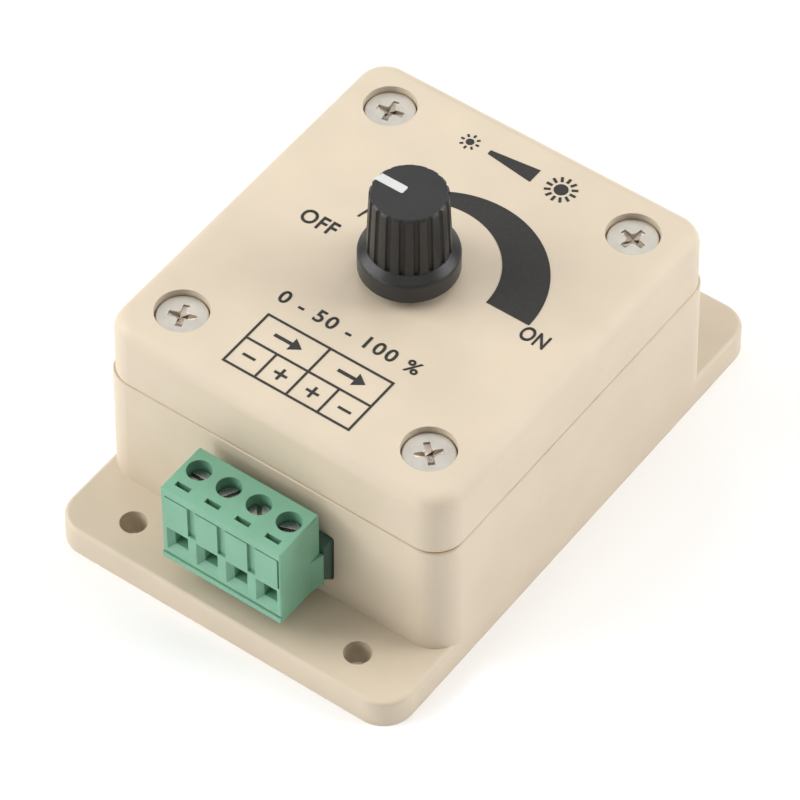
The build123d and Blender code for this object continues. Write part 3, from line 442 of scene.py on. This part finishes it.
def lathe(name, profile, segments):
    """A body turned about Z from a profile of radius and height; one that ends on the axis is closed."""
    shape = bmesh.new()
    points = [shape.verts.new((radius, 0, height)) for radius, height in profile]
    edges = [shape.edges.new(pair) for pair in zip(points, points[1:])]
    bmesh.ops.spin(shape, geom=points + edges, cent=(0, 0, 0), axis=(0, 0, 1), angle=2 * math.pi,
                   steps=segments, use_merge=True)
    bmesh.ops.remove_doubles(shape, verts=shape.verts, dist=MERGE)
    bmesh.ops.recalc_face_normals(shape, faces=shape.faces)
    return filled_mesh(name, shape)


def arc(centre, radius, start, end, count):
    """Points on a circular arc, ends included."""
    steps = [math.radians(start + (end - start) * i / count) for i in range(count + 1)]
    return [(centre[0] + radius * math.cos(a), centre[1] + radius * math.sin(a)) for a in steps]


def ring(centre, radius, sides):
    """The corners of a regular outline round a centre."""
    return arc(centre, radius, 0, 360 * (sides - 1) / sides, sides - 1)


def prism(name, outline, low, high, top_scale=1.0):
    """A solid between two levels over an outline, its top drawn in or out about the origin."""
    shape = bmesh.new()
    base = [shape.verts.new((x, y, low)) for x, y in outline]
    top = [shape.verts.new((x * top_scale, y * top_scale, high)) for x, y in outline]
    shape.faces.new(reversed(base))
    shape.faces.new(top)
    for i in range(len(outline)):
        j = (i + 1) % len(outline)
        shape.faces.new((base[i], base[j], top[j], top[i]))
    return filled_mesh(name, shape)


def carve(made, cutters, bevel):
    """Cuts other solids out of an object and breaks the sharp edges that are left."""
    for cutter in cutters:
        cut = made.modifiers.new("Cut", "BOOLEAN")
        cut.operation = "DIFFERENCE"
        cut.solver = "EXACT"
        cut.object = cutter
    edge = made.modifiers.new("Edge", "BEVEL")
    edge.width = bevel
    edge.segments = 2
    edge.limit_method = "ANGLE"
    edge.angle_limit = BREAK_ANGLE
    mesh = evaluated_mesh(made)
    for cutter in cutters:
        bpy.data.objects.remove(cutter)
    return mesh


def smooth(mesh):
    """Smooth shading that stays sharp across sharp edges, and flat on faces that look straight up."""
    mesh.shade_smooth()
    mesh.set_sharp_from_angle(angle=SHARP_ANGLE)
    for face in mesh.polygons:
        if face.normal.z > FACE_UP:
            face.use_smooth = False
    return mesh


def cross_wing(length, width, tip_depth, root_depth, top, turn):
    """One wing of a cross recess: shallow at its ends, deep in the middle, below a level."""
    far = length / 2
    near = far / 3
    above = top + tip_depth / 4
    outline = [(-far, above), (-far, top - tip_depth), (-near, top - root_depth), (near, top - root_depth),
               (far, top - tip_depth), (far, above)]
    mesh = prism("cross_wing", outline, -width / 2, width / 2)
    mesh.transform(Matrix.Rotation(turn, 4, "Z") @ Matrix.Rotation(math.pi / 2, 4, "X"))
    return mesh


def scatter_tree(name, material):
    """A node tree that sets a copy of an object on each point, turned by the point's own angle."""
    tree = bpy.data.node_groups.new(name, "GeometryNodeTree")
    tree.interface.new_socket("Places", in_out="INPUT", socket_type="NodeSocketGeometry")
    tree.interface.new_socket("Piece", in_out="INPUT", socket_type="NodeSocketObject")
    tree.interface.new_socket("Size", in_out="INPUT", socket_type="NodeSocketFloat").default_value = 1.0
    tree.interface.new_socket("Copies", in_out="OUTPUT", socket_type="NodeSocketGeometry")
    start = tree.nodes.new("NodeGroupInput")
    end = tree.nodes.new("NodeGroupOutput")
    points = tree.nodes.new("GeometryNodeMeshToPoints")
    source = tree.nodes.new("GeometryNodeObjectInfo")
    turn = tree.nodes.new("GeometryNodeInputNamedAttribute")
    turn.inputs["Name"].default_value = "turn"
    upright = tree.nodes.new("ShaderNodeCombineXYZ")
    rotation = tree.nodes.new("FunctionNodeEulerToRotation")
    copies = tree.nodes.new("GeometryNodeInstanceOnPoints")
    solid = tree.nodes.new("GeometryNodeRealizeInstances")
    coat = tree.nodes.new("GeometryNodeSetMaterial")
    coat.inputs["Material"].default_value = material
    link = tree.links.new
    link(start.outputs["Places"], points.inputs["Mesh"])
    link(points.outputs["Points"], copies.inputs["Points"])
    link(start.outputs["Piece"], source.inputs["Object"])
    link(source.outputs["Geometry"], copies.inputs["Instance"])
    link(turn.outputs["Attribute"], upright.inputs["Z"])
    link(upright.outputs["Vector"], rotation.inputs["Euler"])
    link(rotation.outputs["Rotation"], copies.inputs["Rotation"])
    link(start.outputs["Size"], copies.inputs["Scale"])
    link(copies.outputs["Instances"], solid.inputs["Geometry"])
    link(solid.outputs["Geometry"], coat.inputs["Geometry"])
    link(coat.outputs["Geometry"], end.inputs["Copies"])
    return tree


def scattered(name, master, places, turns, material, size=1.0):
    """One mesh with a copy of the master at each place, made by the scatter tree."""
    points = bpy.data.meshes.new(name)
    points.from_pydata(places, [], [])
    attribute = points.attributes.new("turn", "FLOAT", "POINT")
    attribute.data.foreach_set("value", turns)
    carrier = loose_object(name, points)
    source = loose_object(f"{name}_master", master)
    tree = scatter_tree(f"{name}_tree", material)
    scatter = carrier.modifiers.new("Scatter", "NODES")
    scatter.node_group = tree
    inputs = {item.name: item.identifier for item in tree.interface.items_tree if item.in_out == "INPUT"}
    scatter[inputs["Piece"]] = source
    scatter[inputs["Size"]] = size
    mesh = evaluated_mesh(carrier)
    bpy.data.objects.remove(source)
    bpy.data.node_groups.remove(tree)
    return mesh


def solids_of(node):
    """The middles, in plan and in order, of the separate solids of a CAD node."""
    shape = bmesh.new()
    shape.from_mesh(NODES[node].data)
    bmesh.ops.remove_doubles(shape, verts=shape.verts, dist=CAD_MERGE)
    middles = []
    waiting = set(shape.verts)
    while waiting:
        group = {waiting.pop()}
        edge = list(group)
        while edge:
            near = {e.other_vert(v) for v in edge for e in v.link_edges} - group
            group |= near
            edge = list(near)
        waiting -= group
        xs = [v.co.x for v in group]
        ys = [v.co.y for v in group]
        middles.append(((min(xs) + max(xs)) / 2, (min(ys) + max(ys)) / 2))
    shape.free()
    return sorted(middles)


# Operators, one for each piece or group of like pieces

class DIMMER_OT_case(bpy.types.Operator):
    """Give the base and the lid their moulded ivory finish"""

    bl_idname = "dimmer.case"
    bl_label = "Case"

    def execute(self, context):
        look = context.scene.dimmer.case
        ivory = moulded("ivory_moulding", tuple(look.ivory), look.grain, look.roughness, edge=look.edge,
                        seam=look.seam)
        dress(ivory, "base_shell", "lid_shell")
        return {"FINISHED"}


class DIMMER_OT_lid_screws(bpy.types.Operator):
    """Make the four cross-head lid screws and set them in their recesses"""

    bl_idname = "dimmer.lid_screws"
    bl_label = "Lid screws"

    # Turn of each screw in degrees, by the corner that it sits in
    TURNS = {(-1, -1): 20.0, (1, -1): 46.5, (-1, 1): 10.0, (1, 1): -11.0}
    SEGMENTS = 72
    HEAD = 3.7 * MM
    HEAD_HEIGHT = 1.9 * MM
    EDGE = 0.2 * MM
    EDGE_STEPS = 5
    SHANK = 1.7 * MM
    ROOT = 1.3 * MM
    CREST_STEP = 1.25
    TIP_DEPTH = 0.4 * MM
    ROOT_DEPTH = 1.05 * MM
    PIT = 0.3 * MM
    PIT_DEPTH = 1.2 * ROOT_DEPTH
    PIT_FLARE = 3.5
    PIT_SIDES = 16
    BROKEN_EDGE = 0.05 * MM
    FACE_DEPTH = 0.04 * MM

    def profile(self, length, crest):
        """Half of the screw's section, from the tip up to the middle of its flat head."""
        line = [(0.0, -length), (self.ROOT, -length + self.ROOT)]
        height = -length + 2 * self.ROOT
        while height < -2 * crest:
            line += [(self.ROOT, height), (self.SHANK, height + crest / 2), (self.ROOT, height + crest)]
            height += self.CREST_STEP * crest
        line += [(self.SHANK, -crest), (self.SHANK, 0.0), (self.HEAD, 0.0)]
        corner = (self.HEAD - self.EDGE, self.HEAD_HEIGHT - self.EDGE)
        return line + arc(corner, self.EDGE, 0, 90, self.EDGE_STEPS) + [(0.0, self.HEAD_HEIGHT)]

    def execute(self, context):
        look = context.scene.dimmer.screws
        low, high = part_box("lid_screws")
        length = high.z - low.z - self.HEAD_HEIGHT
        turned = lathe("lid_screw", self.profile(length, look.thread), self.SEGMENTS)
        body = loose_object("lid_screw", turned)
        top = self.HEAD_HEIGHT
        cutters = []
        for turn in (0.0, math.pi / 2):
            wing = cross_wing(look.cross, look.cross_width, self.TIP_DEPTH, self.ROOT_DEPTH, top, turn)
            cutters.append(loose_object("wing", wing))
        mouth = ring((0, 0), self.PIT, self.PIT_SIDES)
        pit = prism("cross_pit", mouth, top - self.PIT_DEPTH, top + self.EDGE, self.PIT_FLARE)
        cutters.append(loose_object("pit", pit))
        master = carve(body, cutters, self.BROKEN_EDGE)
        # Below the head's face the plate gets painted shade in the cross recess
        metal = plated("nickel_plate", tuple(look.metal), roughness=0.46, size=0.4 * MM, strength=0.03,
                       shade_below=high.z - self.FACE_DEPTH)
        places = []
        turns = []
        for x, y in solids_of("lid_screws"):
            places.append((x, y, high.z - top))
            turns.append(math.radians(self.TURNS[round(math.copysign(1, x)), round(math.copysign(1, y))]))
        mesh = scattered("lid_screw_set", smooth(master), places, turns, metal)
        made = piece("lid_screw_set", mesh, "case")
        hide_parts("lid_screws")
        return {"FINISHED"}


class DIMMER_OT_printing(bpy.types.Operator):
    """Print the scale, the words at its ends, the figures, the table and the signs on the lid"""

    bl_idname = "dimmer.printing"
    bl_label = "Printing"

    # Words, width, middle and letter spacing
    WORDS = [("OFF", 5.8 * MM, (-15.53 * MM, 0.23 * MM), 1.1),
             ("ON", 4.2 * MM, (20.75 * MM, 0.35 * MM), 1.05)]
    FIGURES = [("0 - 50 - 100 %", 23.5 * MM, (0.0, -13.7 * MM), 1.2)]
    # Middle, radius of the disc, length and width of the rays, and their number
    DIM_SIGN = ((-7.6 * MM, 24.95 * MM), 0.62 * MM, 0.55 * MM, 0.34 * MM, 8)
    BRIGHT_SIGN = ((8.0 * MM, 24.95 * MM), 1.05 * MM, 0.95 * MM, 0.42 * MM, 12)
    WEDGE = [(-4.3 * MM, 24.55 * MM), (3.6 * MM, 23.6 * MM), (3.6 * MM, 26.3 * MM), (-4.3 * MM, 25.35 * MM)]
    DISC_SIDES = 36
    ARROW = 4.6 * MM
    ARROW_HEAD = 1.7 * MM
    ARROW_BARB = 0.7
    ARROW_WEIGHT = 1.3
    POLE_SIGNS = "-++-"
    POLE_HALF = 1.05 * MM

    def text(self, words, width, centre, spacing, height, weight):
        """Capitals or figures that fill a width and a height, centred on a place on the lid."""
        curve = bpy.data.curves.new("words", "FONT")
        curve.body = words
        curve.offset = weight
        curve.space_character = spacing
        made = loose_object("words", curve)
        mesh = evaluated_mesh(made)
        xs = [v.co.x for v in mesh.vertices]
        ys = [v.co.y for v in mesh.vertices]
        fit = Matrix.Diagonal((width / (max(xs) - min(xs)), height / (max(ys) - min(ys)), 1, 1))
        middle = Vector(((min(xs) + max(xs)) / 2, (min(ys) + max(ys)) / 2, 0))
        mesh.transform(Matrix.Translation((*centre, 0)) @ fit @ Matrix.Translation(-middle))
        return mesh

    def patch(self, outline):
        """A flat printed shape."""
        mesh = bpy.data.meshes.new("patch")
        mesh.from_pydata([(x, y, 0) for x, y in outline], [], [list(range(len(outline)))])
        return mesh

    def bar(self, start, end, width):
        """A straight printed line."""
        a, b = Vector(start), Vector(end)
        side = (b - a).orthogonal().normalized() * width / 2
        corners = [a - side, b - side, b + side, a + side]
        return self.patch([tuple(c) for c in corners])

    def arrow(self, centre, width):
        """An arrow to the right."""
        x, y = centre
        tip = x + self.ARROW / 2
        neck = tip - self.ARROW_HEAD
        barb = self.ARROW_HEAD * self.ARROW_BARB
        shaft = self.bar((x - self.ARROW / 2, y), (neck, y), width)
        return [shaft, self.patch([(neck, y + barb), (neck, y - barb), (tip, y)])]

    def sun(self, centre, radius, ray, width, count):
        """A brightness sign: a disc and a ring of rays."""
        shapes = [self.patch(ring(centre, radius, self.DISC_SIDES))]
        for i in range(count):
            angle = 2 * math.pi * i / count
            out = Vector((math.cos(angle), math.sin(angle)))
            start = Vector(centre) + out * (radius + width)
            shapes.append(self.bar(start, start + out * ray, width))
        return shapes

    def table_signs(self, stroke):
        """Arrows for in and out in the upper cells, and the signs of the poles in the lower ones."""
        width = TABLE_HIGH.x - TABLE_LOW.x
        height = TABLE_HIGH.y - TABLE_LOW.y
        middle = (TABLE_HIGH.x + TABLE_LOW.x) / 2
        upper = TABLE_LOW.y + 0.75 * height
        lower = TABLE_LOW.y + 0.25 * height
        shapes = []
        for side in (-1, 1):
            shapes += self.arrow((middle + side * width / 4, upper), stroke * self.ARROW_WEIGHT)
        half = self.POLE_HALF
        for i, sign in enumerate(self.POLE_SIGNS):
            x = TABLE_LOW.x + (i + 0.5) * width / 4
            shapes.append(self.bar((x - half, lower), (x + half, lower), stroke))
            if sign == "+":
                for end in (-1, 1):
                    start = (x, lower + end * stroke / 2)
                    shapes.append(self.bar(start, (x, lower + end * half), stroke))
        return shapes

    def raised(self, name, shapes, thickness):
        """Joins flat shapes and gives them the ink's thickness on the lid."""
        shape = bmesh.new()
        for mesh in shapes:
            shape.from_mesh(mesh)
            bpy.data.meshes.remove(mesh)
        bmesh.ops.remove_doubles(shape, verts=shape.verts, dist=MERGE)
        for face in shape.faces:
            face.normal_update()
            if face.normal.z < 0:
                face.normal_flip()
        top = bmesh.ops.extrude_face_region(shape, geom=shape.faces[:], use_keep_orig=True)
        lifted = [v for v in top["geom"] if isinstance(v, bmesh.types.BMVert)]
        bmesh.ops.translate(shape, verts=lifted, vec=(0, 0, thickness))
        bmesh.ops.translate(shape, verts=shape.verts, vec=(0, 0, LID_TOP))
        bmesh.ops.recalc_face_normals(shape, faces=shape.faces)
        return filled_mesh(name, shape)

    def execute(self, context):
        look = context.scene.dimmer.printing
        ink = screen_ink("screen_ink", tuple(look.ink))
        dress(ink, "scale_print", "table_print")
        brightness = [*self.sun(*self.DIM_SIGN), self.patch(self.WEDGE), *self.sun(*self.BRIGHT_SIGN)]
        groups = {
            "scale_words": [self.text(*word, look.letter, look.weight) for word in self.WORDS],
            "range_figures": [self.text(*figure, look.figure, look.weight) for figure in self.FIGURES],
            "brightness_signs": brightness,
            "table_signs": self.table_signs(look.stroke),
        }
        for name, shapes in groups.items():
            piece(name, self.raised(name, shapes, look.thickness), "case", ink)
        return {"FINISHED"}


class DIMMER_OT_knob(bpy.types.Operator):
    """Give the fluted knob its matt black and the pointer its white fill"""

    bl_idname = "dimmer.knob"
    bl_label = "Knob"

    def execute(self, context):
        look = context.scene.dimmer.knob
        matt = moulded("knob_moulding", tuple(look.black), grain=0.3 * MM, roughness=look.roughness,
                       strength=0.3, mottle=5 * MM, contrast=0.1, edge=look.edge, gloss=0.33)
        dress(matt, "knob")
        fill = moulded("pointer_fill", tuple(look.pointer), grain=0.4 * MM, roughness=0.4, strength=0.2,
                       mottle=2 * MM)
        dress(fill, "knob_pointer")
        return {"FINISHED"}


class DIMMER_OT_terminal(bpy.types.Operator):
    """Finish the terminal plug, its header, and their screws, cages and contacts"""

    bl_idname = "dimmer.terminal"
    bl_label = "Terminal"

    SATIN = 0.44
    SLOT_LEVEL = 0.2 * MM

    def execute(self, context):
        look = context.scene.dimmer.terminal
        green = moulded("green_moulding", tuple(look.green), look.grain, self.SATIN, strength=0.25,
                        mottle=4 * MM, contrast=0.05)
        dress(green, "plug_housing")
        # Painted shade: the header gets a darker copy of the green, for the shadow it sits in
        shadowed_green = moulded("shroud_moulding", tuple(look.shadowed_green), look.grain, self.SATIN, strength=0.25,
                         mottle=4 * MM, contrast=0.05)
        dress(shadowed_green, "terminal_header")
        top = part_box("clamp_screw_1")[1].z
        # Below the slot's top the zinc gets painted shade in the slot
        zinc = plated("zinc_plate", (0.40, 0.40, 0.395), roughness=0.24, stretch=(1, 6, 1), size=0.2 * MM,
                      shade_below=top - self.SLOT_LEVEL, edge=0.12 * MM)
        brass = plated("cage_plate", (0.62, 0.56, 0.38), roughness=0.36, stretch=(1, 1, 4))
        tin = plated("tin_plate", (0.72, 0.72, 0.70), roughness=0.34, stretch=(4, 1, 1))
        dress(tin, "header_pins", "plug_contacts", "chip_legs", "transistor_frame", "component_leads",
              "pot_lugs")
        for pole in POLES:
            dress(zinc, f"clamp_screw_{pole}")
            dress(brass, f"clamp_cage_{pole}")
        return {"FINISHED"}


class DIMMER_OT_inner_parts(bpy.types.Operator):
    """Finish the board with its parts, and the potentiometer under the lid"""

    bl_idname = "dimmer.inner_parts"
    bl_label = "Inner parts"

    # Colour, roughness, stretch and size of the drawn lines, and the nodes
    METALS = {
        "bright_screws": ((0.72, 0.71, 0.68), 0.3, (1, 1, 1), 0.3 * MM, ["board_screws"]),
        "pot_nickel": ((0.70, 0.69, 0.65), 0.32, (1, 1, 5), 0.3 * MM,
                       ["pot_bushing", "pot_can", "pot_washer", "pot_nut"]),
        "turned_aluminium": ((0.76, 0.76, 0.77), 0.34, (1, 1, 9), 0.25 * MM, ["pot_shaft"]),
    }
    # Colour, grain, roughness, strength of the grain, size and contrast of the clouds, and the nodes
    PLASTICS = {
        "brown_wafer": ((0.150, 0.062, 0.020), 0.5 * MM, 0.5, 0.3, 3 * MM, 0.12, ["pot_wafer"]),
        "rotor_nylon": ((0.68, 0.66, 0.58), 0.4 * MM, 0.45, 0.2, 4 * MM, 0.04, ["pot_wiper"]),
        "wire_sheath": ((0.36, 0.016, 0.013), 0.3 * MM, 0.42, 0.15, 3 * MM, 0.06, ["pot_wires"]),
        "capacitor_sleeve": ((0.013, 0.016, 0.032), 0.6 * MM, 0.28, 0.1, 5 * MM, 0.1, ["capacitor"]),
        "chip_epoxy": ((0.016, 0.016, 0.017), 0.2 * MM, 0.55, 0.4, 2 * MM, 0.1,
                       ["timer_chip", "power_transistor", "diode"]),
    }

    def execute(self, context):
        dress(laminate("board_lacquer"), "circuit_board")
        for name, (*look, nodes) in self.METALS.items():
            dress(plated(name, *look), *nodes)
        for name, (*look, nodes) in self.PLASTICS.items():
            dress(moulded(name, *look), *nodes)
        low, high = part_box("resistors")
        dress(banded_coat("resistor_rings", low.x, high.x - low.x), "resistors")
        return {"FINISHED"}


class DIMMER_OT_stage(bpy.types.Operator):
    """Set the pale floor, the studio light and the camera"""

    bl_idname = "dimmer.stage"
    bl_label = "Stage"

    SENSOR = 36.0
    CLIP = (0.01, 20.0)
    AMBIENT = 0.0
    # Radius and height of the floor's section, and the radii between which its glow comes up
    SWEEP = [(0.0, 0.0), (1.2, 0.0), (2.0, 0.02), (2.6, 0.07), (3.0, 0.15)]
    SWEEP_SEGMENTS = 64
    GLOW = (0.3, 0.9)
    CLOUD = 0.4
    # Place, size and power of each light, and the point that all of them look at
    LIGHTS = {
        "overhead": ((0.0, 0.02, 1.0), 1.5, 7.40),
        "right_back": ((0.6, 0.5, 0.55), 0.5, 3.75),
        "right_back_low": ((0.75, 0.4, 0.3), 0.4, 1.90),
        "back_high": ((0.1, 0.65, 0.75), 0.4, 1.77),
        "left_front": ((-0.7, -0.45, 0.55), 0.7, 8.10),
        "front_left": ((-0.3, -0.85, 0.3), 0.4, 1.75),
        "left_back": ((-0.6, 0.6, 0.55), 0.4, 0.94),
    }
    AIM = (0, 0, 0.02)

    def light(self, name, place, size, power):
        """A square soft light that looks at the object."""
        lamp = bpy.data.lights.new(name, "AREA")
        lamp.size = size
        lamp.energy = power
        made = loose_object(name, lamp)
        made.location = place
        made.rotation_euler = (Vector(self.AIM) - Vector(place)).to_track_quat("-Z", "Y").to_euler()

    def floor(self):
        """A wide pale sheet under the object, swept up far away, that glows where the lamps don't reach."""
        mesh = lathe("floor", self.SWEEP, self.SWEEP_SEGMENTS)
        finish = Finish("floor_paper", Roughness=0.9, Emission_Color=(1, 1, 1, 1))
        finish.feed("Base Color", finish.shades(finish.noise(self.CLOUD), (1, 1, 1), 0.97, 0.98))
        away = finish.node("ShaderNodeVectorMath", {0: finish.place}, operation="LENGTH").outputs["Value"]
        finish.feed("Emission Strength", finish.spread(away, 0.0, 1.0, *self.GLOW))
        mesh.materials.append(finish.material)
        made = loose_object("floor", mesh)

    def camera(self, look):
        """The camera at the photograph's angle."""
        data = bpy.data.cameras.new("camera")
        data.lens = look.lens
        data.sensor_width = self.SENSOR
        data.clip_start, data.clip_end = self.CLIP
        made = loose_object("camera", data)
        level = math.cos(look.elevation)
        back = Vector((level * math.sin(look.azimuth), -level * math.cos(look.azimuth),
                       math.sin(look.elevation)))
        made.location = Vector(look.target) + back * look.distance
        made.rotation_euler = (-back).to_track_quat("-Z", "Y").to_euler()
        bpy.context.scene.camera = made

    def execute(self, context):
        scene = context.scene
        self.floor()
        self.camera(scene.dimmer.stage)
        for name, (place, size, power) in self.LIGHTS.items():
            self.light(name, place, size, power)
        world = bpy.data.worlds.new("studio")
        world.use_nodes = True
        world.node_tree.nodes["Background"].inputs["Strength"].default_value = self.AMBIENT
        scene.world = world
        scene.view_settings.view_transform = "Standard"
        return {"FINISHED"}


class DIMMER_PT_panel(bpy.types.Panel):
    """The dimmer's settings and its makers, in order"""

    bl_idname = "DIMMER_PT_panel"
    bl_label = "Dimmer"
    bl_space_type = "VIEW_3D"
    bl_region_type = "UI"
    bl_category = "Dimmer"

    def draw(self, context):
        """Lists each group of settings, and then the makers."""
        settings = context.scene.dimmer
        for name in ("case", "printing", "knob", "screws", "terminal", "stage"):
            box = self.layout.box()
            box.label(text=name.capitalize())
            group = getattr(settings, name)
            for key in group.bl_rna.properties.keys():
                if key not in {"rna_type", "name"}:
                    box.prop(group, key)
        for maker in MAKERS:
            self.layout.operator(maker.bl_idname)


GROUPS = (DimmerCase, DimmerPrint, DimmerKnob, DimmerScrews, DimmerTerminal, DimmerStage, DimmerSettings)
MAKERS = (DIMMER_OT_case, DIMMER_OT_lid_screws, DIMMER_OT_printing, DIMMER_OT_knob, DIMMER_OT_terminal,
          DIMMER_OT_inner_parts, DIMMER_OT_stage)
CLASSES = (*GROUPS, *MAKERS, DIMMER_PT_panel)


def register():
    """Registers the classes and hangs the settings on the scene."""
    for made in CLASSES:
        bpy.utils.register_class(made)
    bpy.types.Scene.dimmer = bpy.props.PointerProperty(type=DimmerSettings)


def unregister():
    """Takes the settings and the classes away again."""
    del bpy.types.Scene.dimmer
    for made in reversed(CLASSES):
        bpy.utils.unregister_class(made)


def main():
    """Makes every piece in order."""
    register()
    bpy.ops.dimmer.case()
    bpy.ops.dimmer.lid_screws()
    bpy.ops.dimmer.printing()
    bpy.ops.dimmer.knob()
    bpy.ops.dimmer.terminal()
    bpy.ops.dimmer.inner_parts()
    bpy.ops.dimmer.stage()


if __name__ == "__main__":
    main()
